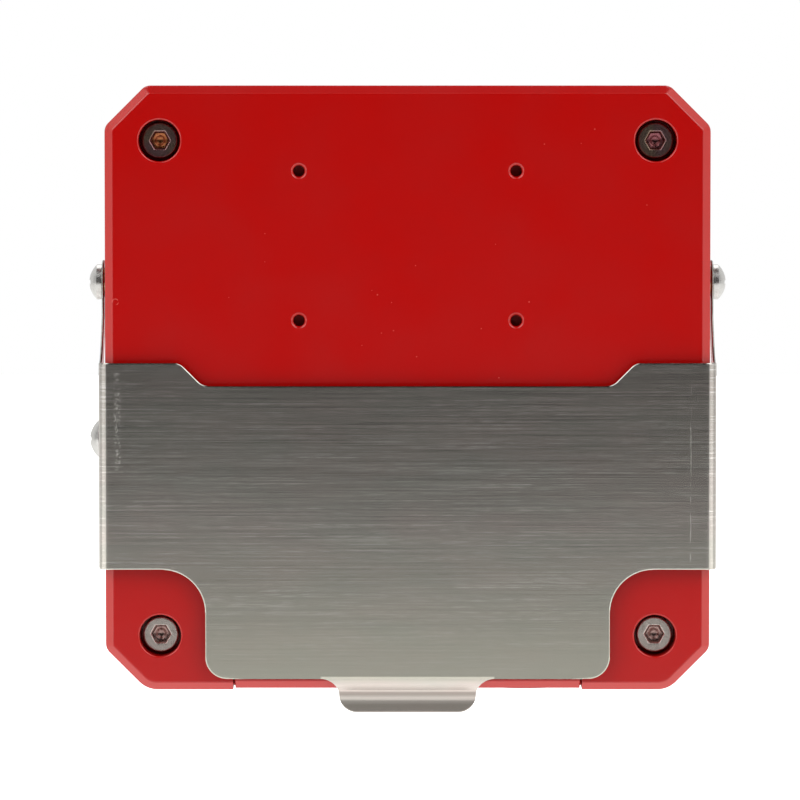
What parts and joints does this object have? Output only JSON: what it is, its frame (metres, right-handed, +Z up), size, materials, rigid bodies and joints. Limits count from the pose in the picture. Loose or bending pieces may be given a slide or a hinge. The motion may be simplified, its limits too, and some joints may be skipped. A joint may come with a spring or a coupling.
{
  "type": "break glass call point",
  "caption": "Wall-mounted break glass call point: square red enclosure with chamfered corners and a hinged brushed steel lift flap over its glass.",
  "frame": {"origin": "middle of the back face, on the wall", "axes": "+X to the right seen from the front, +Y into the wall, +Z up"},
  "size_m": [0.1282, 0.0743, 0.1245],
  "materials": {
    "red_moulding": "satin moulded polyester, red",
    "brushed_stainless": "horizontally brushed stainless sheet",
    "screw_steel": "plain stainless fasteners",
    "brass": "turned brass",
    "black_rubber": "matt black rubber",
    "clear_glass": "clear frangible pane",
    "grey_foam": "closed-cell foam",
    "black_plastic": "black moulded nylon",
    "zinc_plate": "zinc-plated steel",
    "lead_insulation": "blue wire insulation",
    "ivory_plastic": "ivory moulded nylon"
  },
  "bodies": {
    "enclosure": {"back_box": "red_moulding", "front_cover": "red_moulding", "cover_gasket": "black_rubber", "base_inserts": "brass", "cover_screws": "screw_steel", "glass_frame": "red_moulding", "glass_pane": "clear_glass", "glass_cushion": "grey_foam", "frame_screws": "screw_steel", "frame_inserts": "brass", "pivot_screws": "screw_steel", "pivot_bushes": "brass", "pivot_washers": "screw_steel", "pivot_inserts": "brass", "earth_screw": "screw_steel", "earth_washer": "screw_steel", "earth_spring_washer": "screw_steel", "earth_insert": "brass", "plunger_guide": "black_plastic", "plunger_spring": "brushed_stainless", "switch_bracket": "zinc_plate", "bracket_screws": "zinc_plate", "switch_body": "black_plastic", "switch_screws": "zinc_plate", "terminal_block": "ivory_plastic", "terminal_screws": "brass", "terminal_fixings": "zinc_plate", "stopping_plug": "black_plastic", "plug_seal": "black_rubber", "switch_leads": "lead_insulation"},
    "flap": {"lift_flap": "brushed_stainless"},
    "plunger": {"plunger": "ivory_plastic", "plunger_clip": "zinc_plate"},
    "lever": {"switch_lever": "zinc_plate"}
  },
  "joints": [
    {"name": "flap_hinge", "type": "hinge", "parent": "enclosure", "child": "flap", "pos_m": [0, -0.064, 0.0209], "axis": [-1, 0, 0], "range_deg": [0, 105]},
    {"name": "plunger_slide", "type": "slide", "parent": "enclosure", "child": "plunger", "axis": [0, 1, 0], "range_m": [0, 0.002], "stiffness_N_per_m": 300, "springref_m": -0.0045, "deforming": ["plunger_spring"]},
    {"name": "lever_pivot", "type": "hinge", "parent": "enclosure", "child": "lever", "pos_m": [0.022, -0.0273, -0.03], "axis": [0, 0, -1], "range_deg": [0, 6.5]}
  ],
  "couplings": [
    {"joint": "lever_pivot", "follows": "plunger_slide", "rad_per_m": 45.45}
  ]
}
